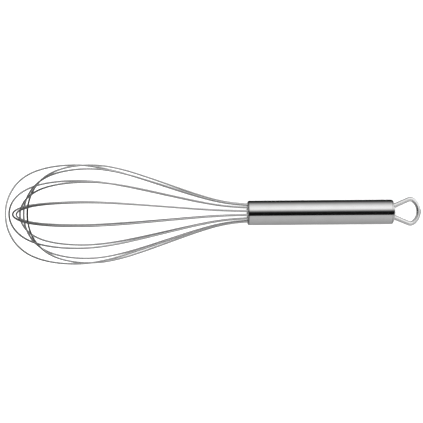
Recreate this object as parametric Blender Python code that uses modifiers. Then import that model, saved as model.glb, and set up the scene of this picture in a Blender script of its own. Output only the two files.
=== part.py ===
"""Balloon whisk: seven nested stainless wire loops anchored in a round tube handle with a hanging loop.

Working frame of the pieces ("whisk frame"): the whisk's own axis is X, the handle's front face is at
x = 0, the handle runs to +X and the balloon to -X. The hanging loop lies in the XY plane.
Everything hangs from one empty, which lays the whisk down on the plane z = 0: it rests on two
neighbouring wires of the balloon and on the handle's rear edge, as a whisk does on a table.
"""

import math

import bmesh
import bpy
import numpy as np
from mathutils import Matrix, Vector

MM = 0.001

# ---- driving dimensions, in millimetres ----
TUBE_R = 9.2  # handle tube, outside radius
TUBE_WALL = 0.8
TUBE_LENGTH = 107.6  # front face to the seam of the end cap
LIP_R = 0.9  # the tube's front edge is turned in and rounded
WIRE_R = 0.75
LOOPS = 7
LEG_PITCH_DEG = 180.0 / LOOPS  # 14 legs, evenly spaced
FIRST_LEG_DEG = -25.3
ROOT_R = 6.5  # circle on which the legs leave the handle
LEG_DEPTH = 32.0  # how far the legs run into the handle
HOLE_R = 0.92  # holes for the legs
FIT_GAP = 0.15  # clearance of the pieces that sit in the tube
DISC_X = (0.3, 2.3)  # wire guide disc, nearly flush with the front edge
RESIN_X = (2.6, 34.3)  # cast resin plug
STOPPER_X = (34.6, 37.6)
CAP_DOME = 2.2  # height of the end cap's dome behind the seam
CAP_FLAT_R = 3.2  # flat middle of the dome
CAP_SPIGOT = 5.5  # skirt inside the tube
SEAM = 0.15
EYE_WIRE_R = 1.7  # hanging loop
EYE_ROOT_Y = 4.45
EYE_SPLAY_DEG = 23.0
EYE_ARC_R = 10.8
EYE_ARC_X = 7.5  # centre of the far arc, behind the end face
EYE_CORNER_R = 4.0
EYE_INSIDE = 10.0
EYE_SHIFT = 0.2  # the hanging loop stands this far to one side of the axis

# The loops are true loops, nested by constant steps.
LOOP_LENGTH = 181.0  # outermost loop, from the handle to its apex
LOOP_LENGTH_STEP = 2.7  # each loop nests this far inside the one before
LOOP_RADIUS = 40.0  # outermost loop
LOOP_RADIUS_STEP = 0.7
NOMINAL_R = 37.2  # loop radius that the neck is drawn for
FLARE = (0.07, 7.3)  # where a leg starts to spread: share of the length, radius in mm
NECK = (0.17, 0.26)  # share of the length, share of the radius
CONE_SLOPE = 1.8  # spread from the neck to the shoulder
SHOULDER_AT = 0.55
NOSE_CENTRE = 0.66  # the belly and nose are a squared ellipse about this share of the length
NOSE_POWER = 3.0
NOSE_FULL = 1.06  # its control points stand this far out
NOSE_ANGLES_DEG = (85.0, 50.0, 10.0)
BALLOON_SHIFT = 0.2  # the balloon stands this far to one side of the handle's axis
LOOP_SPANS = 80  # straight spans along one loop outside the handle


# ---- scene ----
for old in list(bpy.data.objects):
    bpy.data.objects.remove(old, do_unlink=True)

scene = bpy.context.scene
parts = bpy.data.collections.new("balloon_whisk")
cutters = bpy.data.collections.new("cutters")
scene.collection.children.link(parts)
scene.collection.children.link(cutters)

axis_empty = bpy.data.objects.new("whisk_axis", None)
parts.objects.link(axis_empty)


def material(name, colour, roughness, metallic):
    m = bpy.data.materials.new(name)
    m.use_nodes = True
    shader = m.node_tree.nodes["Principled BSDF"]
    shader.inputs["Base Color"].default_value = (*colour, 1.0)
    shader.inputs["Roughness"].default_value = roughness
    shader.inputs["Metallic"].default_value = metallic
    return m


steel_wire = material("wire_steel", (0.62, 0.62, 0.63), 0.18, 1.0)
steel_tube = material("handle_steel", (0.66, 0.66, 0.67), 0.2, 1.0)
steel_disc = material("disc_steel", (0.55, 0.55, 0.56), 0.35, 1.0)
resin = material("resin", (0.42, 0.40, 0.36), 0.5, 0.0)
stopper_plastic = material("stopper_plastic", (0.75, 0.75, 0.73), 0.6, 0.0)


def link(obj, mat, collection=parts):
    collection.objects.link(obj)
    if mat is not None:
        obj.data.materials.append(mat)
    if collection is parts:
        obj.parent = axis_empty
    else:
        obj.hide_render = True
        obj.display_type = "WIRE"
        obj.parent = axis_empty
    return obj


def smooth(mesh, angle=35.0):
    mesh.shade_smooth()
    mesh.set_sharp_from_angle(angle=math.radians(angle))


def turned(name, profile, mat, steps):
    """A ring turned about the object's Z, which points along the whisk's +X. The profile is a closed
    list of (x, r) in mm, going round its section so that the outer side runs from high x to low x."""
    mesh = bpy.data.meshes.new(name)
    count = len(profile)
    on_axis = [r < 1e-9 for _, r in profile]
    edges = [(i, (i + 1) % count) for i in range(count)]
    edges = [(a, b) for a, b in edges if not (on_axis[a] and on_axis[b])]
    mesh.from_pydata([(r * MM, 0.0, x * MM) for x, r in profile], edges, [])
    obj = bpy.data.objects.new(name, mesh)
    link(obj, mat)
    obj.rotation_euler = (0.0, math.radians(90.0), 0.0)
    screw = obj.modifiers.new("Turn", "SCREW")
    screw.axis = "Z"
    screw.angle = math.radians(360.0)
    screw.steps = steps
    screw.render_steps = steps
    screw.use_merge_vertices = True
    screw.merge_threshold = 1e-6
    screw.use_smooth_shade = True
    return obj


def rods(name, places, radius, x0, x1, sides):
    """One cutter made of straight round rods along the whisk's axis, at the given (y, z) in mm."""
    bm = bmesh.new()
    for y, z in places:
        turn = Matrix.Rotation(math.radians(90.0), 4, "Y")
        move = Matrix.Translation(Vector(((x0 + x1) / 2, y, z)) * MM)
        bmesh.ops.create_cone(
            bm,
            cap_ends=True,
            segments=sides,
            radius1=radius * MM,
            radius2=radius * MM,
            depth=(x1 - x0) * MM,
            matrix=move @ turn,
        )
    mesh = bpy.data.meshes.new(name)
    bm.to_mesh(mesh)
    bm.free()
    return link(bpy.data.objects.new(name, mesh), None, cutters)


def cut(obj, cutter):
    difference = obj.modifiers.new("Holes", "BOOLEAN")
    difference.operation = "DIFFERENCE"
    difference.solver = "EXACT"
    difference.object = cutter


def wire(name, points, radius, mat, sides_resolution=2):
    """A round wire through the points (mm, whisk frame), with closed ends."""
    curve = bpy.data.curves.new(name, "CURVE")
    curve.dimensions = "3D"
    curve.bevel_depth = radius * MM
    curve.bevel_resolution = sides_resolution
    curve.use_fill_caps = True
    spline = curve.splines.new("POLY")
    spline.points.add(len(points) - 1)
    for target, p in zip(spline.points, points):
        target.co = (p[0] * MM, p[1] * MM, p[2] * MM, 1.0)
    return link(bpy.data.objects.new(name, curve), mat)


def b_spline(control, count):
    """Clamped uniform cubic B-spline through count + 1 points, by de Boor's rule."""
    control = np.array(control, float)
    degree = 3
    inner = len(control) - degree
    knots = np.concatenate([np.zeros(degree), np.linspace(0, 1, inner + 1), np.ones(degree)])
    out = []
    for t in np.linspace(0, 1, count + 1):
        span = degree + min(int(t * inner), inner - 1)
        d = [control[j + span - degree].copy() for j in range(degree + 1)]
        for r in range(1, degree + 1):
            for j in range(degree, r - 1, -1):
                left = knots[j + span - degree]
                right = knots[j + 1 + span - r]
                a = (t - left) / (right - left)
                d[j] = (1 - a) * d[j - 1] + a * d[j]
        out.append(d[degree])
    return np.array(out)


# ---- wire loops ----
def loop_angle(i):
    return math.radians(FIRST_LEG_DEG - i * LEG_PITCH_DEG)


def leg_polygon():
    """Shares of length and radius of one leg's control points, from the neck to the apex."""
    shoulder = NECK[1] + CONE_SLOPE * (SHOULDER_AT - NECK[0])
    points = [NECK, (SHOULDER_AT, shoulder)]
    for a in map(math.radians, NOSE_ANGLES_DEG):
        s = NOSE_CENTRE + (1 - NOSE_CENTRE) * math.cos(a) ** (2 / NOSE_POWER)
        points.append((s, NOSE_FULL * math.sin(a) ** (2 / NOSE_POWER)))
    return points


def leg_control(i, side):
    """Control points of one leg of loop i in the whisk frame, from the handle to the apex."""
    length = LOOP_LENGTH - i * LOOP_LENGTH_STEP
    radius = LOOP_RADIUS - i * LOOP_RADIUS_STEP
    phi = loop_angle(i) + (0.0 if side > 0 else math.pi)
    points = []
    for s, r in [(0.0, ROOT_R), FLARE] + [(s, q * NOMINAL_R) for s, q in leg_polygon()]:
        grown = r * (1 + (radius / NOMINAL_R - 1) * min(s / 0.4, 1.0))
        y = grown * math.cos(phi) + BALLOON_SHIFT * min(s / 0.25, 1.0)
        points.append((-s * length, y, grown * math.sin(phi)))
    return points


def loop_path(i):
    leg_a, leg_b = leg_control(i, 1), leg_control(i, -1)
    curve = b_spline(leg_a + leg_b[::-1], LOOP_SPANS)
    start, end = curve[0], curve[-1]
    inner_a = np.array([LEG_DEPTH, start[1], start[2]])
    inner_b = np.array([LEG_DEPTH, end[1], end[2]])
    return np.vstack([inner_a, curve, inner_b])


loop_paths = [loop_path(i) for i in range(LOOPS)]
for i, path in enumerate(loop_paths):
    wire(f"wire_loop_{i + 1}", path, WIRE_R, steel_wire)

leg_places = []
for i in range(LOOPS):
    for half in (0.0, math.pi):
        a = loop_angle(i) + half
        leg_places.append((ROOT_R * math.cos(a), ROOT_R * math.sin(a)))


# ---- handle tube: straight tube with its front edge turned in ----
inner_r = TUBE_R - TUBE_WALL
ring_r = TUBE_R - LIP_R  # the turned-in edge ends on this radius
arc = [math.radians(a) for a in (0, 18, 36, 54, 72, 90)]
outer_lip = [(LIP_R - LIP_R * math.sin(a), ring_r + LIP_R * math.cos(a)) for a in arc]
bend = LIP_R - TUBE_WALL
inner_lip = [(LIP_R - bend * math.sin(a), ring_r + bend * math.cos(a)) for a in reversed(arc)]
turned(
    "handle_tube",
    [(TUBE_LENGTH, TUBE_R)] + outer_lip + inner_lip + [(TUBE_LENGTH, inner_r)],
    steel_tube,
    48,
)

# ---- what anchors the wires inside the handle ----
plug_r = inner_r - FIT_GAP
disc_r = ring_r - FIT_GAP
disc = turned(
    "wire_guide_disc",
    [
        (DISC_X[1], 0.0),
        (DISC_X[1], disc_r),
        (DISC_X[0] + 0.2, disc_r),
        (DISC_X[0], disc_r - 0.2),
        (DISC_X[0], 0.0),
    ],
    steel_disc,
    42,
)
cut(disc, rods("disc_holes", leg_places, HOLE_R, DISC_X[0] - 1, DISC_X[1] + 1, 12))

plug = turned(
    "resin_plug",
    [
        (RESIN_X[1], 0.0),
        (RESIN_X[1], plug_r),
        (RESIN_X[0], plug_r),
        (RESIN_X[0], 0.0),
    ],
    resin,
    42,
)
cut(plug, rods("resin_holes", leg_places, HOLE_R, RESIN_X[0] - 1, LEG_DEPTH + 0.3, 12))

turned(
    "resin_stopper",
    [
        (STOPPER_X[1], 0.0),
        (STOPPER_X[1], plug_r),
        (STOPPER_X[0], plug_r),
        (STOPPER_X[0], 0.0),
    ],
    stopper_plastic,
    36,
)

# ---- rear end cap: domed, with a skirt inside the tube ----
end_x = TUBE_LENGTH + SEAM + CAP_DOME
seam_x = TUBE_LENGTH + SEAM
dome = []
for a in (0, 15, 30, 45, 60, 75, 90):
    t = math.radians(a)
    dome.append(
        (
            seam_x + CAP_DOME * math.cos(t),
            CAP_FLAT_R + (TUBE_R - CAP_FLAT_R) * math.sin(t),
        )
    )
cap_wall = 1.5
skirt_in = plug_r - 1.0
cap = turned(
    "rear_end_cap",
    [(end_x, 0.0)]
    + dome
    + [
        (seam_x, plug_r),
        (seam_x - CAP_SPIGOT, plug_r),
        (seam_x - CAP_SPIGOT, skirt_in),
        (seam_x - 0.3, skirt_in),
        (end_x - cap_wall, 5.5),
        (end_x - cap_wall, 0.0),
    ],
    steel_tube,
    48,
)
cut(
    cap,
    rods(
        "eye_holes",
        [(EYE_SHIFT + EYE_ROOT_Y, 0.0), (EYE_SHIFT - EYE_ROOT_Y, 0.0)],
        EYE_WIRE_R + 0.17,
        seam_x - 1.5,
        end_x + 3,
        20,
    ),
)

# ---- hanging loop ----
splay = math.radians(EYE_SPLAY_DEG)
normal = np.array([-math.sin(splay), math.cos(splay)])
knee = np.array([0.3, EYE_ROOT_Y])
centre = np.array([EYE_ARC_X, 0.0])
reach = EYE_ARC_R - EYE_CORNER_R
beta = splay + math.asin((-EYE_CORNER_R - normal @ (centre - knee)) / reach)
corner = centre + reach * np.array([math.cos(beta), math.sin(beta)])


def arc_points(c, r, a0, a1, count):
    return [
        (c[0] + r * math.cos(a), c[1] + r * math.sin(a)) for a in np.linspace(a0, a1, count)
    ]


knee_r = 3.0
knee_len = knee_r * math.tan(splay / 2)
knee_c = (knee[0] - knee_len, EYE_ROOT_Y + knee_r)
half_eye = [(-EYE_INSIDE, EYE_ROOT_Y)]
half_eye += arc_points(knee_c, knee_r, math.radians(-90), math.radians(-90) + splay, 4)
half_eye += arc_points(corner, EYE_CORNER_R, math.radians(90) + splay, beta, 6)
far = arc_points(centre, EYE_ARC_R, beta, -beta, 11)[1:-1]
eye = half_eye + far + [(x, -y) for x, y in reversed(half_eye)]
wire("hanging_loop", [(end_x + x, EYE_SHIFT + y, 0.0) for x, y in eye], EYE_WIRE_R, steel_wire, 3)


# ---- lay the whisk down: two back wires and the handle's rear edge touch z = 0 ----
rim = np.array(
    [
        (TUBE_LENGTH, TUBE_R * math.cos(a), TUBE_R * math.sin(a))
        for a in np.linspace(0, 2 * math.pi, 96, endpoint=False)
    ]
)


def laid(points, roll, tilt):
    turn = Matrix.Rotation(tilt, 3, "Y") @ Matrix.Rotation(roll, 3, "X")
    return points @ np.array(turn).T


def lowest(points, roll, tilt, radius):
    return laid(points, roll, tilt)[:, 2].min() - radius


def solve(f, lo, hi):
    """Bisection; f changes sign between lo and hi."""
    f_lo = f(lo)
    for _ in range(40):
        mid = (lo + hi) / 2
        f_mid = f(mid)
        if (f_mid > 0) == (f_lo > 0):
            lo, f_lo = mid, f_mid
        else:
            hi = mid
    return (lo + hi) / 2


def level_roll(tilt):
    return solve(
        lambda roll: lowest(loop_paths[2], roll, tilt, WIRE_R)
        - lowest(loop_paths[3], roll, tilt, WIRE_R),
        math.radians(-12),
        math.radians(12),
    )


rest_tilt = solve(
    lambda tilt: lowest(loop_paths[2], level_roll(tilt), tilt, WIRE_R)
    - lowest(rim, level_roll(tilt), tilt, 0.0),
    math.radians(2),
    math.radians(12),
)
rest_roll = level_roll(rest_tilt)
turn = Matrix.Rotation(rest_tilt, 4, "Y") @ Matrix.Rotation(rest_roll, 4, "X")
axis_empty.rotation_euler = turn.to_euler()
bpy.context.view_layer.update()

# the origin is the middle of the footprint, on the surface that the whisk lies on
graph = bpy.context.evaluated_depsgraph_get()
low, high = np.full(3, 1e9), np.full(3, -1e9)
for obj in parts.objects:
    if obj.type == "EMPTY":
        continue
    shape = obj.evaluated_get(graph)
    mesh = shape.to_mesh()
    world = np.array(shape.matrix_world)
    flat = np.empty(len(mesh.vertices) * 3)
    mesh.vertices.foreach_get("co", flat)
    flat = flat.reshape(-1, 3) @ world[:3, :3].T + world[:3, 3]
    low, high = np.minimum(low, flat.min(0)), np.maximum(high, flat.max(0))
    shape.to_mesh_clear()
axis_empty.location = (-(low[0] + high[0]) / 2, -(low[1] + high[1]) / 2, -low[2])
bpy.context.view_layer.update()
print("laid down: tilt %.3f deg, roll %.3f deg" % (math.degrees(rest_tilt), math.degrees(rest_roll)))
print("whisk frame in the row frame:", [list(map(float, row)) for row in axis_empty.matrix_world])
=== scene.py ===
import math

import bmesh
import bpy
import numpy as np
from mathutils import Matrix, Vector


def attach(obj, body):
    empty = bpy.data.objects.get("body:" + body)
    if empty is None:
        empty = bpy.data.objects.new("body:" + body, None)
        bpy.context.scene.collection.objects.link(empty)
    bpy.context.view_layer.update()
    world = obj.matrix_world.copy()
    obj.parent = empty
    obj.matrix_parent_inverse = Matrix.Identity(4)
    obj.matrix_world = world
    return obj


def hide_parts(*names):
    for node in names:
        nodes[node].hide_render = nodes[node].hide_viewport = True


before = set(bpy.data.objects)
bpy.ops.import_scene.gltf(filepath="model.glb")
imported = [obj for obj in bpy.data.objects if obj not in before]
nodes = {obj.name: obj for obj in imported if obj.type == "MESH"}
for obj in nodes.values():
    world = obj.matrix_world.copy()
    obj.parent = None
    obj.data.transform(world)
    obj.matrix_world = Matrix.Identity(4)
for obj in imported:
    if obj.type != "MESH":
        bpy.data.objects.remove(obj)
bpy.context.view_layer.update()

MM = 0.001

# ---------------------------------------------------------------------------------------------
# The design's own rule and sizes, in millimetres, in the whisk frame: x = 0 is the handle's front
# face, the handle runs to +X, the balloon to -X, and the hanging loop lies in the XY plane.
# ---------------------------------------------------------------------------------------------
TUBE_R = 9.2
TUBE_WALL = 0.8
TUBE_LENGTH = 107.6
LIP_R = 0.9
WIRE_R = 0.75
LOOPS = 7
LEG_PITCH_DEG = 180.0 / LOOPS
FIRST_LEG_DEG = -25.3
ROOT_R = 6.5
LEG_DEPTH = 32.0
HOLE_R = 0.92
FIT_GAP = 0.15
DISC_X = (0.3, 2.3)
CAP_DOME = 2.2
CAP_FLAT_R = 3.2
CAP_SPIGOT = 5.5
SEAM = 0.15
EYE_WIRE_R = 1.7
EYE_ROOT_Y = 4.45
EYE_SPLAY_DEG = 23.0
EYE_ARC_R = 10.8
EYE_ARC_X = 7.5
EYE_CORNER_R = 4.0
EYE_INSIDE = 10.0
EYE_SHIFT = 0.2
LOOP_LENGTH = 181.0  # outermost loop, from the handle to its apex
LOOP_LENGTH_STEP = 2.7  # each loop nests this far inside the one before
LOOP_RADIUS = 40.0  # outermost loop
LOOP_RADIUS_STEP = 0.7
NOMINAL_R = 37.2  # loop radius that the neck is drawn for
FLARE = (0.07, 7.3)  # where a leg starts to spread: share of the length, radius in mm
NECK = (0.17, 0.26)  # share of the length, share of the radius
CONE_SLOPE = 1.8  # spread from the neck to the shoulder
SHOULDER_AT = 0.55
NOSE_CENTRE = 0.66  # the belly and nose are a squared ellipse about this share of the length
NOSE_POWER = 3.0
NOSE_FULL = 1.06  # its control points stand this far out
NOSE_ANGLES_DEG = (85.0, 50.0, 10.0)
BALLOON_SHIFT = 0.2  # the balloon stands this far to one side of the handle's axis
LOOP_SPANS = 80

# How fine the shown meshes are
WIRE_SPANS = 420
WIRE_SIDES = 20
TURNED_STEPS = 192


def b_spline(control, count):
    """Clamped uniform cubic B-spline through count + 1 points, by de Boor's rule."""
    control = np.array(control, float)
    degree = 3
    inner = len(control) - degree
    knots = np.concatenate([np.zeros(degree), np.linspace(0, 1, inner + 1), np.ones(degree)])
    out = []
    for t in np.linspace(0, 1, count + 1):
        span = degree + min(int(t * inner), inner - 1)
        d = [control[j + span - degree].copy() for j in range(degree + 1)]
        for r in range(1, degree + 1):
            for j in range(degree, r - 1, -1):
                left = knots[j + span - degree]
                right = knots[j + 1 + span - r]
                a = (t - left) / (right - left)
                d[j] = (1 - a) * d[j - 1] + a * d[j]
        out.append(d[degree])
    return np.array(out)


def loop_angle(i):
    return math.radians(FIRST_LEG_DEG - i * LEG_PITCH_DEG)


def leg_polygon():
    """Shares of length and radius of one leg's control points, from the neck to the apex."""
    shoulder = NECK[1] + CONE_SLOPE * (SHOULDER_AT - NECK[0])
    points = [NECK, (SHOULDER_AT, shoulder)]
    for a in map(math.radians, NOSE_ANGLES_DEG):
        s = NOSE_CENTRE + (1 - NOSE_CENTRE) * math.cos(a) ** (2 / NOSE_POWER)
        points.append((s, NOSE_FULL * math.sin(a) ** (2 / NOSE_POWER)))
    return points


def leg_control(i, side):
    """Control points of one leg of loop i in the whisk frame, from the handle to the apex."""
    length = LOOP_LENGTH - i * LOOP_LENGTH_STEP
    radius = LOOP_RADIUS - i * LOOP_RADIUS_STEP
    phi = loop_angle(i) + (0.0 if side > 0 else math.pi)
    points = []
    for s, r in [(0.0, ROOT_R), FLARE] + [(s, q * NOMINAL_R) for s, q in leg_polygon()]:
        grown = r * (1 + (radius / NOMINAL_R - 1) * min(s / 0.4, 1.0))
        y = grown * math.cos(phi) + BALLOON_SHIFT * min(s / 0.25, 1.0)
        points.append((-s * length, y, grown * math.sin(phi)))
    return points


def loop_curve(i, spans):
    leg_a, leg_b = leg_control(i, 1), leg_control(i, -1)
    return b_spline(leg_a + leg_b[::-1], spans)


# ---- how the whisk lies: the same rest on two back wires and the handle's rear edge ----
coarse_paths = []
for i in range(LOOPS):
    curve = loop_curve(i, LOOP_SPANS)
    ends = [np.array([LEG_DEPTH, p[1], p[2]]) for p in (curve[0], curve[-1])]
    coarse_paths.append(np.vstack([ends[0], curve, ends[1]]))
rim = np.array(
    [
        (TUBE_LENGTH, TUBE_R * math.cos(a), TUBE_R * math.sin(a))
        for a in np.linspace(0, 2 * math.pi, 96, endpoint=False)
    ]
)


def lowest(points, roll, tilt, radius):
    turn = Matrix.Rotation(tilt, 3, "Y") @ Matrix.Rotation(roll, 3, "X")
    return (points @ np.array(turn).T)[:, 2].min() - radius


def solve(f, lo, hi):
    f_lo = f(lo)
    for _ in range(40):
        mid = (lo + hi) / 2
        f_mid = f(mid)
        if (f_mid > 0) == (f_lo > 0):
            lo, f_lo = mid, f_mid
        else:
            hi = mid
    return (lo + hi) / 2


def level_roll(tilt):
    return solve(
        lambda roll: lowest(coarse_paths[2], roll, tilt, WIRE_R)
        - lowest(coarse_paths[3], roll, tilt, WIRE_R),
        math.radians(-12),
        math.radians(12),
    )


rest_tilt = solve(
    lambda tilt: lowest(coarse_paths[2], level_roll(tilt), tilt, WIRE_R)
    - lowest(rim, level_roll(tilt), tilt, 0.0),
    math.radians(2),
    math.radians(12),
)
rest = Matrix.Rotation(rest_tilt, 3, "Y") @ Matrix.Rotation(level_roll(rest_tilt), 3, "X")
R = np.array(rest)

# The handle tube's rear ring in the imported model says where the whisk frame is.
tube_points = np.array([v.co for v in nodes["handle_tube"].data.vertices], float)
along = tube_points @ R[:, 0]
ring = np.unique(np.round(tube_points[along > along.max() - 2e-5], 7), axis=0)
T = ring.mean(axis=0) - R[:, 0] * TUBE_LENGTH * MM


def to_row(points_mm):
    """Whisk frame in millimetres to the row frame in metres."""
    return np.asarray(points_mm, float) * MM @ R.T + T


# ---------------------------------------------------------------------------------------------
# Materials
# ---------------------------------------------------------------------------------------------
class Nodes:
    """Adds nodes to a material's tree with less writing."""

    def __init__(self, tree):
        self.tree = tree
        self.at = 0

    def add(self, kind, inputs=None, **settings):
        node = self.tree.nodes.new(kind)
        self.at += 1
        node.location = (-220 * (self.at % 6), -260 * (self.at // 6))
        for name, value in settings.items():
            setattr(node, name, value)
        for key, value in (inputs or {}).items():
            self.put(node.inputs[key], value)
        return node

    def put(self, socket, value):
        if isinstance(value, bpy.types.NodeSocket):
            self.tree.links.new(value, socket)
        else:
            socket.default_value = value

    def math(self, operation, a, b=None, c=None, clamp=False):
        inputs = {0: a}
        if b is not None:
            inputs[1] = b
        if c is not None:
            inputs[2] = c
        return self.add("ShaderNodeMath", inputs, operation=operation, use_clamp=clamp).outputs[0]

    def scaled(self, vector, scale):
        return self.add(
            "ShaderNodeVectorMath", {0: vector, 1: scale}, operation="MULTIPLY"
        ).outputs[0]

    def noise(self, vector, scale, detail=2.0, rough=0.5):
        return self.add(
            "ShaderNodeTexNoise",
            {"Vector": vector, "Scale": scale, "Detail": detail, "Roughness": rough},
        ).outputs[0]

    def remap(self, value, a, b, c, d):
        return self.add(
            "ShaderNodeMapRange",
            {"Value": value, "From Min": a, "From Max": b, "To Min": c, "To Max": d},
        ).outputs[0]

    def mix(self, factor, a, b):
        node = self.add("ShaderNodeMix", data_type="RGBA")
        self.put(node.inputs[0], factor)
        self.put(node.inputs[6], a)
        self.put(node.inputs[7], b)
        return node.outputs[2]


def new_material(name):
    m = bpy.data.materials.new(name)
    m.use_nodes = True
    tree = m.node_tree
    shader = tree.nodes["Principled BSDF"]
    return m, Nodes(tree), shader


def grey(v, warm=0.0):
    return (v + warm, v, v - warm, 1.0)


def polished_tube_steel():
    """Polished stainless tube: fine marks that run round it, a few hairline scratches along it,
    and a faint cloudiness from handling."""
    m, n, shader = new_material("polished_tube_steel")
    place = n.add("ShaderNodeAttribute", attribute_name="place").outputs["Vector"]
    turning = n.noise(n.scaled(place, (9.0, 0.22, 0.22)), 1.0, 3.0, 0.6)
    fine = n.noise(n.scaled(place, (26.0, 0.5, 0.5)), 1.0, 2.0, 0.6)
    cloud = n.noise(n.scaled(place, (0.09, 0.16, 0.16)), 1.0, 3.0, 0.55)
    hair = n.noise(n.scaled(place, (0.12, 6.0, 6.0)), 1.0, 1.0, 0.4)
    scratch = n.math("GREATER_THAN", hair, 0.735)
    shader.inputs["Metallic"].default_value = 1.0
    n.put(
        shader.inputs["Base Color"],
        n.mix(n.remap(cloud, 0.3, 0.7, 0.0, 1.0), grey(0.645, 0.003), grey(0.685, -0.001)),
    )
    rough = n.math(
        "ADD", n.remap(cloud, 0.3, 0.7, 0.055, 0.085), n.remap(turning, 0.3, 0.7, -0.010, 0.015)
    )
    n.put(shader.inputs["Roughness"], n.math("ADD", rough, n.math("MULTIPLY", scratch, 0.08)))
    height = n.math("ADD", n.math("MULTIPLY", turning, 0.7), n.math("MULTIPLY", fine, 0.3))
    height = n.math("SUBTRACT", height, n.math("MULTIPLY", scratch, 0.25))
    bump = n.add(
        "ShaderNodeBump", {"Height": height, "Strength": 0.12, "Distance": 0.00002}
    ).outputs[0]
    n.put(shader.inputs["Normal"], bump)
    return m


def drawn_wire_steel(name, base, rough_low, rough_high, streak, metallic=1.0, tip_shade_share=1.0):
    """Drawn stainless wire: streaks along its length, small patches of duller surface, and painted
    shade: a base tone darkened towards the balloon's tip, down to the share given by the last
    argument."""
    m, n, shader = new_material(name)
    place = n.add("ShaderNodeAttribute", attribute_name="place").outputs["Vector"]
    draw = n.noise(n.scaled(place, (0.35, 7.0, 7.0)), 1.0, 2.0, 0.55)
    patch = n.noise(n.scaled(place, (0.12, 0.9, 0.9)), 1.0, 2.0, 0.5)
    shader.inputs["Metallic"].default_value = metallic
    tone = n.mix(n.remap(patch, 0.3, 0.7, 0.0, 1.0), grey(base - 0.02, 0.002), grey(base + 0.02))
    if tip_shade_share < 1.0:
        # painted shade: the base tone darkens along the whisk towards the balloon's tip
        spot = n.add("ShaderNodeNewGeometry").outputs["Position"]
        along = n.add(
            "ShaderNodeVectorMath", {0: spot, 1: tuple(R[:, 0])}, operation="DOT_PRODUCT"
        ).outputs["Value"]
        start = float(R[:, 0] @ to_row([(0.0, 0.0, 0.0)])[0])
        tip_shade_mask = n.remap(along, start - 0.105, start - 0.160, 0.0, 1.0)
        tone = n.mix(tip_shade_mask, tone, grey(base * tip_shade_share))
    n.put(shader.inputs["Base Color"], tone)
    n.put(
        shader.inputs["Roughness"],
        n.math(
            "ADD",
            n.remap(patch, 0.3, 0.7, rough_low, rough_high),
            n.remap(draw, 0.3, 0.7, -0.02, 0.03),
        ),
    )
    bump = n.add(
        "ShaderNodeBump", {"Height": draw, "Strength": streak, "Distance": 0.00003}
    ).outputs[0]
    n.put(shader.inputs["Normal"], bump)
    return m


def stamped_disc_steel():
    """The recessed disc between the wires: matt stamped steel with a faint turned pattern."""
    m, n, shader = new_material("stamped_disc_steel")
    place = n.add("ShaderNodeAttribute", attribute_name="place").outputs["Vector"]
    grain = n.noise(n.scaled(place, (2.0, 2.0, 2.0)), 1.0, 4.0, 0.6)
    shader.inputs["Metallic"].default_value = 1.0
    n.put(shader.inputs["Base Color"], n.mix(grain, grey(0.42, 0.004), grey(0.58)))
    n.put(shader.inputs["Roughness"], n.remap(grain, 0.3, 0.7, 0.32, 0.48))
    bump = n.add(
        "ShaderNodeBump", {"Height": grain, "Strength": 0.25, "Distance": 0.00005}
    ).outputs[0]
    n.put(shader.inputs["Normal"], bump)
    return m


def hidden_plastic(name, low, high, rough):
    """Cast or moulded filler inside the handle, lightly mottled."""
    m, n, shader = new_material(name)
    place = n.add("ShaderNodeTexCoord").outputs["Object"]
    mottle = n.noise(place, 900.0, 4.0, 0.6)
    n.put(shader.inputs["Base Color"], n.mix(mottle, low, high))
    n.put(shader.inputs["Roughness"], n.remap(mottle, 0.3, 0.7, rough - 0.06, rough + 0.06))
    bump = n.add(
        "ShaderNodeBump", {"Height": mottle, "Strength": 0.2, "Distance": 0.0001}
    ).outputs[0]
    n.put(shader.inputs["Normal"], bump)
    return m


tube_steel = polished_tube_steel()
# the last argument darkens the balloon wires towards the tip as painted shade
wire_steel = drawn_wire_steel("drawn_wire_steel", 0.66, 0.09, 0.14, 0.2, 1.0, 0.66)
eye_steel = drawn_wire_steel("satin_wire_steel", 0.76, 0.17, 0.24, 0.2, 0.985)
disc_steel = stamped_disc_steel()
resin = hidden_plastic("cast_resin", (0.36, 0.34, 0.30, 1), (0.47, 0.45, 0.41, 1), 0.45)
stopper = hidden_plastic("stopper_plastic", (0.70, 0.70, 0.68, 1), (0.80, 0.80, 0.78, 1), 0.6)


# ---------------------------------------------------------------------------------------------
# Mesh makers. Each shown mesh keeps a "place" attribute: its points in millimetres in the space
# that the surface's marks follow, which is the whisk frame for turned pieces and the straightened
# wire for wires.
# ---------------------------------------------------------------------------------------------
def finish_piece(name, verts_mm, faces, place, mat, node, sharp_deg=30.0):
    mesh = bpy.data.meshes.new(name)
    mesh.from_pydata([tuple(p) for p in to_row(verts_mm)], [], faces)
    mesh.update()
    bm = bmesh.new()
    bm.from_mesh(mesh)
    bmesh.ops.recalc_face_normals(bm, faces=bm.faces)
    bm.to_mesh(mesh)
    bm.free()
    layer = mesh.attributes.new("place", "FLOAT_VECTOR", "POINT")
    layer.data.foreach_set("vector", np.asarray(place, np.float32).ravel())
    mesh.shade_smooth()
    mesh.set_sharp_from_angle(angle=math.radians(sharp_deg))
    mesh.materials.append(mat)
    piece = bpy.data.objects.new(name, mesh)
    bpy.context.scene.collection.objects.link(piece)
    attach(piece, "root")
    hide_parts(node)
    return piece


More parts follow.
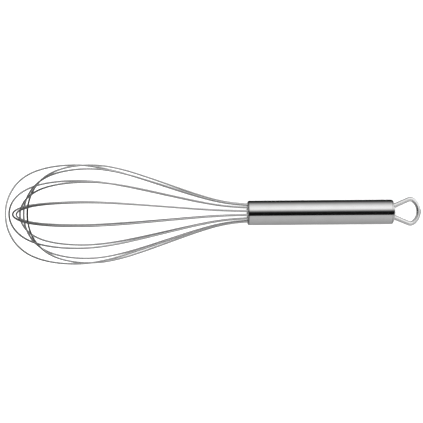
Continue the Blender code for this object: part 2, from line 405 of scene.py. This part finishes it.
def swept(path, radius, sides):
    """Round wire along the path, in rings carried along without twist, with slightly domed ends."""
    path = np.asarray(path, float)
    step = np.diff(path, axis=0)
    length = np.linalg.norm(step, axis=1)
    unit = step / length[:, None]
    tangent = np.vstack([unit[0], unit[:-1] + unit[1:], unit[-1]])
    tangent /= np.linalg.norm(tangent, axis=1)[:, None]
    s = np.concatenate([[0.0], np.cumsum(length)])
    side = np.cross(tangent[0], [0.0, 0.0, 1.0])
    if np.linalg.norm(side) < 1e-3:
        side = np.cross(tangent[0], [0.0, 1.0, 0.0])
    side /= np.linalg.norm(side)
    angles = np.linspace(0, 2 * math.pi, sides, endpoint=False)
    verts, place = [], []

    def ring(centre, t, across, r, at):
        up = np.cross(t, across)
        for a in angles:
            verts.append(centre + r * (math.cos(a) * across + math.sin(a) * up))
            place.append((at, r * math.cos(a), r * math.sin(a)))

    rings = 0
    for k in range(len(path)):
        t = tangent[k]
        side = side - t * (side @ t)
        side /= np.linalg.norm(side)
        if k == 0:
            ring(path[0], t, side, radius * 0.86, s[0])
            ring(path[0] + t * radius * 0.14, t, side, radius, s[0])
            rings += 2
        elif k == len(path) - 1:
            ring(path[k] - t * radius * 0.14, t, side, radius, s[k])
            ring(path[k], t, side, radius * 0.86, s[k])
            rings += 2
        else:
            ring(path[k], t, side, radius, s[k])
            rings += 1
    faces = []
    for k in range(rings - 1):
        for j in range(sides):
            a, b = k * sides + j, k * sides + (j + 1) % sides
            faces.append((a, b, b + sides, a + sides))
    faces.append(tuple(range(sides))[::-1])
    faces.append(tuple((rings - 1) * sides + j for j in range(sides)))
    return verts, faces, place


def turned(profile, steps, closed):
    """Points (x, r) turned about the whisk's axis. An open profile starts and ends on the axis."""
    verts, rows = [], []
    angles = np.linspace(0, 2 * math.pi, steps, endpoint=False)
    for x, r in profile:
        if r < 1e-9:
            rows.append([len(verts)])
            verts.append((x, 0.0, 0.0))
        else:
            rows.append(list(range(len(verts), len(verts) + steps)))
            verts += [(x, r * math.cos(a), r * math.sin(a)) for a in angles]
    faces = []
    pairs = list(zip(rows, rows[1:]))
    if closed:
        pairs.append((rows[-1], rows[0]))
    for one, two in pairs:
        for j in range(steps):
            k = (j + 1) % steps
            if len(one) == 1:
                faces.append((one[0], two[j], two[k]))
            elif len(two) == 1:
                faces.append((one[j], one[k], two[0]))
            else:
                faces.append((one[j], one[k], two[k], two[j]))
    return verts, faces


def arc(cx, cr, radius, a0, a1, count):
    return [
        (cx + radius * math.cos(math.radians(a)), cr + radius * math.sin(math.radians(a)))
        for a in np.linspace(a0, a1, count)
    ]


def drilled(name, verts, faces, holes, radius, x0, x1, chamfer):
    """Cuts round holes with a small chamfer at the front end, and returns the mesh's lists."""
    mesh = bpy.data.meshes.new(name)
    mesh.from_pydata(verts, [], faces)
    bm = bmesh.new()
    bm.from_mesh(mesh)
    bmesh.ops.recalc_face_normals(bm, faces=bm.faces)
    bm.to_mesh(mesh)
    bm.free()
    body = bpy.data.objects.new(name, mesh)
    bpy.context.scene.collection.objects.link(body)
    cutter_mesh = bpy.data.meshes.new(name + "_cutter")
    bm = bmesh.new()
    for y, z in holes:
        lathe = [(x0, 0.0), (x0, radius + chamfer + (chamfer and 0.5)), (x0 + 0.5, radius + chamfer)]
        if chamfer:
            lathe.append((x0 + 0.5 + chamfer, radius))
        lathe += [(x1, radius), (x1, 0.0)]
        hv, hf = turned(lathe, 48, False)
        made = [bm.verts.new((x, y + v, z + w)) for x, v, w in hv]
        for f in hf:
            bm.faces.new([made[q] for q in f])
    bmesh.ops.recalc_face_normals(bm, faces=bm.faces)
    bm.to_mesh(cutter_mesh)
    bm.free()
    cutter = bpy.data.objects.new(name + "_cutter", cutter_mesh)
    bpy.context.scene.collection.objects.link(cutter)
    cut = body.modifiers.new("Holes", "BOOLEAN")
    cut.operation = "DIFFERENCE"
    cut.solver = "EXACT"
    cut.object = cutter
    bpy.context.view_layer.update()
    result = bpy.data.meshes.new_from_object(
        body.evaluated_get(bpy.context.evaluated_depsgraph_get())
    )
    out_verts = [tuple(v.co) for v in result.vertices]
    out_faces = [tuple(p.vertices) for p in result.polygons]
    bpy.data.objects.remove(body, do_unlink=True)
    bpy.data.objects.remove(cutter, do_unlink=True)
    bpy.data.meshes.remove(result)
    return out_verts, out_faces


# ---------------------------------------------------------------------------------------------
# Pieces
# ---------------------------------------------------------------------------------------------
def eased(path, corner, reach):
    """Rounds the slight bend at one point of the path over a few neighbours."""
    path = path.copy()
    for _ in range(reach):
        lo, hi = max(1, corner - reach), min(len(path) - 1, corner + reach + 1)
        path[lo:hi] = (path[lo - 1 : hi - 1] + 2 * path[lo:hi] + path[lo + 1 : hi + 1]) / 4
    return path


INNER = 8
for i in range(LOOPS):
    curve = loop_curve(i, WIRE_SPANS)
    leg_in = np.array([(x, curve[0][1], curve[0][2]) for x in np.linspace(LEG_DEPTH, 1.0, INNER)])
    leg_out = np.array(
        [(x, curve[-1][1], curve[-1][2]) for x in np.linspace(1.0, LEG_DEPTH, INNER)]
    )
    path = np.vstack([leg_in, curve, leg_out])
    path = eased(path, INNER, 5)
    path = eased(path, INNER + WIRE_SPANS, 5)
    verts, faces, place = swept(path, WIRE_R, WIRE_SIDES)
    place = np.array(place) + (i * 37.0, i * 5.0, 0.0)
    finish_piece(
        f"balloon_wire_{i + 1}", verts, faces, place, wire_steel, f"wire_loop_{i + 1}"
    )

# handle tube: front edge turned in and rounded, rear edge softly broken
inner_r = TUBE_R - TUBE_WALL
ring_r = TUBE_R - LIP_R
bend = LIP_R - TUBE_WALL
profile = (
    arc(LIP_R, ring_r, LIP_R, 90, 180, 22)
    + arc(LIP_R, ring_r, bend, 180, 90, 14)
    + [(20.0, inner_r), (60.0, inner_r), (TUBE_LENGTH, inner_r)]
    + arc(TUBE_LENGTH - 0.18, TUBE_R - 0.18, 0.18, 0, 90, 5)
    + [(x, TUBE_R) for x in np.linspace(TUBE_LENGTH - 2, 3.0, 40)]
)
verts, faces = turned(profile, TURNED_STEPS, True)
finish_piece(
    "polished_handle_tube", verts, faces, verts, tube_steel, "handle_tube"
)

# end cap: shallow dome with two holes for the hanging loop's legs, and a skirt in the tube
plug_r = inner_r - FIT_GAP
seam_x = TUBE_LENGTH + SEAM
end_x = seam_x + CAP_DOME
dome = [
    (
        seam_x + CAP_DOME * math.cos(math.radians(a)),
        CAP_FLAT_R + (TUBE_R - CAP_FLAT_R) * math.sin(math.radians(a)),
    )
    for a in np.linspace(0, 88, 30)
]
skirt_in = plug_r - 1.0
profile = (
    [(end_x, 0.0), (end_x, 1.6)]
    + dome
    + [
        (seam_x, TUBE_R - 0.12),
        (seam_x, plug_r),
        (seam_x - CAP_SPIGOT + 0.3, plug_r),
        (seam_x - CAP_SPIGOT, plug_r - 0.3),
        (seam_x - CAP_SPIGOT, skirt_in),
        (seam_x - 0.3, skirt_in),
        (end_x - 1.5, 5.5),
        (end_x - 1.5, 0.0),
    ]
)
verts, faces = turned(profile, TURNED_STEPS, False)
verts, faces = drilled(
    "cap",
    verts,
    faces,
    [(EYE_SHIFT + EYE_ROOT_Y, 0.0), (EYE_SHIFT - EYE_ROOT_Y, 0.0)],
    EYE_WIRE_R + 0.12,
    seam_x - 1.5,
    end_x + 3.0,
    0.0,
)
finish_piece("domed_end_cap", verts, faces, verts, tube_steel, "rear_end_cap")

# wire guide disc, with chamfered holes
disc_r = ring_r - FIT_GAP
leg_places = []
for i in range(LOOPS):
    for half in (0.0, math.pi):
        a = loop_angle(i) + half
        leg_places.append((ROOT_R * math.cos(a), ROOT_R * math.sin(a)))
profile = (
    [(DISC_X[1], 0.0), (DISC_X[1], disc_r)]
    + arc(DISC_X[0] + 0.2, disc_r - 0.2, 0.2, 90, 180, 5)
    + [(DISC_X[0], 6.0), (DISC_X[0], 3.0), (DISC_X[0], 0.0)]
)
verts, faces = turned(profile, 120, False)
verts, faces = drilled(
    "disc", verts, faces, leg_places, HOLE_R, DISC_X[0] - 0.6, DISC_X[1] + 1.0, 0.12
)
finish_piece("guide_disc", verts, faces, verts, disc_steel, "wire_guide_disc")

# hanging loop
splay = math.radians(EYE_SPLAY_DEG)
normal = np.array([-math.sin(splay), math.cos(splay)])
knee = np.array([0.3, EYE_ROOT_Y])
centre = np.array([EYE_ARC_X, 0.0])
reach = EYE_ARC_R - EYE_CORNER_R
beta = splay + math.asin((-EYE_CORNER_R - normal @ (centre - knee)) / reach)
corner = centre + reach * np.array([math.cos(beta), math.sin(beta)])


def arc_points(c, r, a0, a1, count):
    return [(c[0] + r * math.cos(a), c[1] + r * math.sin(a)) for a in np.linspace(a0, a1, count)]


def evenly(points, spacing):
    """The same polyline with points no further apart than the spacing."""
    out = [points[0]]
    for a, b in zip(points, points[1:]):
        a, b = np.array(a, float), np.array(b, float)
        parts = max(1, int(math.ceil(np.linalg.norm(b - a) / spacing)))
        out += [tuple(a + (b - a) * k / parts) for k in range(1, parts + 1)]
    return out


knee_r = 3.0
knee_c = (knee[0] - knee_r * math.tan(splay / 2), EYE_ROOT_Y + knee_r)
half_eye = [(-EYE_INSIDE, EYE_ROOT_Y)]
half_eye += arc_points(knee_c, knee_r, math.radians(-90), math.radians(-90) + splay, 10)
half_eye += arc_points(corner, EYE_CORNER_R, math.radians(90) + splay, beta, 26)
far = arc_points(centre, EYE_ARC_R, beta, -beta, 71)[1:-1]
eye = half_eye + far + [(x, -y) for x, y in reversed(half_eye)]
path = np.array([(end_x + x, EYE_SHIFT + y, 0.0) for x, y in evenly(eye, 0.6)])
path = eased(path, len(path) // 2, 4)
verts, faces, place = swept(path, EYE_WIRE_R, 32)
finish_piece("hanging_eye_wire", verts, faces, place, eye_steel, "hanging_loop")

# hidden fillers keep their CAD solids
for node, mat in (("resin_plug", resin), ("resin_stopper", stopper)):
    nodes[node].data.materials.clear()
    nodes[node].data.materials.append(mat)


# ---------------------------------------------------------------------------------------------
# Stage: pale floor, soft light, and a studio surround that only the metal's gloss sees
# ---------------------------------------------------------------------------------------------
def make_floor():
    mesh = bpy.data.meshes.new("floor")
    bm = bmesh.new()
    bmesh.ops.create_grid(bm, x_segments=8, y_segments=8, size=6.0)
    bm.to_mesh(mesh)
    bm.free()
    m, n, shader = new_material("pale_floor")
    place = n.add("ShaderNodeTexCoord").outputs["Object"]
    tone = n.noise(place, 3.0, 2.0)
    n.put(shader.inputs["Base Color"], n.mix(tone, (0.90, 0.90, 0.90, 1), (0.93, 0.93, 0.93, 1)))
    shader.inputs["Roughness"].default_value = 0.9
    shader.inputs["Specular IOR Level"].default_value = 0.0
    mesh.materials.append(m)
    floor = bpy.data.objects.new("floor", mesh)
    bpy.context.scene.collection.objects.link(floor)
    floor.location.z = -0.0002
    floor.visible_glossy = False
    return floor


make_floor()


def area_light(name, location, target, size, power):
    data = bpy.data.lights.new(name, "AREA")
    data.shape = "RECTANGLE"
    data.size, data.size_y = size
    data.energy = power
    lamp = bpy.data.objects.new(name, data)
    bpy.context.scene.collection.objects.link(lamp)
    lamp.location = location
    lamp.rotation_euler = (Vector(target) - Vector(location)).to_track_quat("-Z", "Y").to_euler()
    lamp.visible_glossy = False
    lamp.visible_camera = False
    return lamp


area_light("overhead_softbox", (0.0, 0.0, 2.4), (0.0, 0.0, 0.0), (3.0, 3.0), 110.0)

# A soft card above the handle's end, which only the hanging loop mirrors
card_back = np.array([0.50, -0.02, 0.86])
card_back /= np.linalg.norm(card_back)
card_side = np.cross([0.0, 1.0, 0.0], card_back)
card_side /= np.linalg.norm(card_side)
card_pose = np.eye(4)
card_pose[:3, 0] = R @ card_side
card_pose[:3, 1] = R @ np.cross(card_back, card_side)
card_pose[:3, 2] = R @ card_back
card_pose[:3, 3] = to_row([(end_x + 12.0, 0.0, 0.0)])[0] + R @ card_back
card = area_light("loop_card", (0.0, 0.0, 1.0), (0.0, 0.0, 0.0), (1.5, 0.7), 2.6)
card.matrix_world = Matrix(card_pose.tolist())
card.visible_camera = False
card.visible_glossy = True
card_reaches = bpy.data.collections.new("card_reaches")
card_reaches.objects.link(bpy.data.objects["hanging_eye_wire"])
card.light_linking.receiver_collection = card_reaches

# Studio surround in strips that lie along the whisk, by the angle from straight above it (0) to
# the far side (+90) or the near side (-90) and down to the floor (180): a grey wall on the near
# side, a black card overhead and a softbox on the far side.
WALL = (0.28, 0.66)  # radiance at the floor and at the top
BLACK_CARD = (-27.0, 1.0)  # its two edges
BLACK = 0.006
SOFTBOX = (38.0, 37.0, 92.0, 1.28)  # middle, fade on the near and the far side, radiance
SOFTBOX_STEPS = 18
FAR_FLOOR = 0.10

SURROUND = [(-180.0, WALL[0]), (-50.0, WALL[1]), (BLACK_CARD[0] - 2.5, WALL[1] - 0.05)]
SURROUND += [(edge, BLACK) for edge in BLACK_CARD]
for k in range(1, SOFTBOX_STEPS + 1):
    deg = BLACK_CARD[1] + k * (SOFTBOX[0] + SOFTBOX[2] - BLACK_CARD[1]) / SOFTBOX_STEPS
    off = abs(deg - SOFTBOX[0]) / (SOFTBOX[1] if deg < SOFTBOX[0] else SOFTBOX[2])
    fade = 0.5 * (1 + math.cos(math.pi * min(off, 1.0)))
    SURROUND.append((deg, max(BLACK, SOFTBOX[3] * fade)))
SURROUND.append((180.0, FAR_FLOOR))
SURROUND_TOP = 1.5
TIP_END = (-0.03, -0.40, 0.35)  # dimming towards the ends: from, to, share left
EYE_END = (0.20, 0.70, 0.85)
FLOOR_GLOW = 0.72  # what the polished metal sees straight below it

world = bpy.data.worlds.new("studio_surround")
bpy.context.scene.world = world
world.use_nodes = True
tree = world.node_tree
tree.nodes.clear()
n = Nodes(tree)
direction = n.add("ShaderNodeTexCoord").outputs["Generated"]


def component(axis):
    return n.add(
        "ShaderNodeVectorMath", {0: direction, 1: tuple(R[:, axis])}, operation="DOT_PRODUCT"
    ).outputs["Value"]


above = component(2)
half_angle = n.math("ARCTAN2", component(1), n.math("ADD", above, 1.0))
turn = n.math("MULTIPLY_ADD", half_angle, 1 / math.pi, 0.5)
ramp = n.add("ShaderNodeValToRGB", {0: turn})
elements = ramp.color_ramp.elements
while len(elements) > 1:
    elements.remove(elements[-1])
for k, (deg, level) in enumerate(SURROUND):
    position = (deg + 180) / 360
    stop = elements[0] if k == 0 else elements.new(position)
    stop.position = position
    stop.color = (level / SURROUND_TOP,) * 3 + (1.0,)
below = n.remap(above, -0.93, -0.985, 0.0, 1.0)
# the ends of the studio are dimmer, most of all the one that the balloon's tip faces
lean = n.math("SQRT", n.math("MAXIMUM", n.math("MULTIPLY_ADD", above, 2.0, 2.0), 0.0004))
tipward = n.math("DIVIDE", component(0), lean)
shade = n.math(
    "MULTIPLY",
    n.remap(tipward, TIP_END[0], TIP_END[1], 1.0, TIP_END[2]),
    n.remap(tipward, EYE_END[0], EYE_END[1], 1.0, EYE_END[2]),
)
strips = n.mix(shade, (0.0, 0.0, 0.0, 1.0), ramp.outputs[0])
glow = (FLOOR_GLOW / SURROUND_TOP,) * 3 + (1.0,)
surround = n.add(
    "ShaderNodeBackground",
    {"Color": n.mix(below, strips, glow), "Strength": SURROUND_TOP},
).outputs[0]
plain = n.add("ShaderNodeBackground", {"Color": (1, 1, 1, 1), "Strength": 1.0}).outputs[0]
path_kind = n.add("ShaderNodeLightPath")
chosen = n.add("ShaderNodeMixShader")
tree.links.new(path_kind.outputs["Is Glossy Ray"], chosen.inputs[0])
tree.links.new(plain, chosen.inputs[1])
tree.links.new(surround, chosen.inputs[2])
out = n.add("ShaderNodeOutputWorld")
tree.links.new(chosen.outputs[0], out.inputs["Surface"])

bpy.context.scene.view_settings.view_transform = "Standard"


# ---------------------------------------------------------------------------------------------
# Camera: far away, nearly straight above, so the whisk lies level across the picture
# ---------------------------------------------------------------------------------------------
PIXEL_MM = 0.744  # size of a picture element at the handle's front face
DISTANCE_MM = 2800 * PIXEL_MM
TIP_TO_CAMERA = math.radians(4.5)
PICTURE_TURN = math.atan(0.00793)
AIM_RIGHT_MM = (211.0 - 247.19) * PIXEL_MM
AIM_UP_MM = (212.45 - 211.0) * PIXEL_MM

level = np.array([math.cos(TIP_TO_CAMERA), 0.0, math.sin(TIP_TO_CAMERA)])
across = np.array([0.0, 1.0, 0.0])
back = np.array([-math.sin(TIP_TO_CAMERA), 0.0, math.cos(TIP_TO_CAMERA)])
right = math.cos(PICTURE_TURN) * level - math.sin(PICTURE_TURN) * across
up = math.cos(PICTURE_TURN) * across + math.sin(PICTURE_TURN) * level
place = AIM_RIGHT_MM * right + AIM_UP_MM * up + DISTANCE_MM * back

lens = bpy.data.cameras.new("camera")
lens.sensor_width = 36.0
lens.lens = 36.0 / 423 * 2800
lens.clip_start, lens.clip_end = 0.1, 20.0
camera = bpy.data.objects.new("camera", lens)
bpy.context.scene.collection.objects.link(camera)
pose = np.eye(4)
pose[:3, 0], pose[:3, 1], pose[:3, 2] = R @ right, R @ up, R @ back
pose[:3, 3] = to_row(place)
camera.matrix_world = Matrix(pose.tolist())
bpy.context.scene.camera = camera
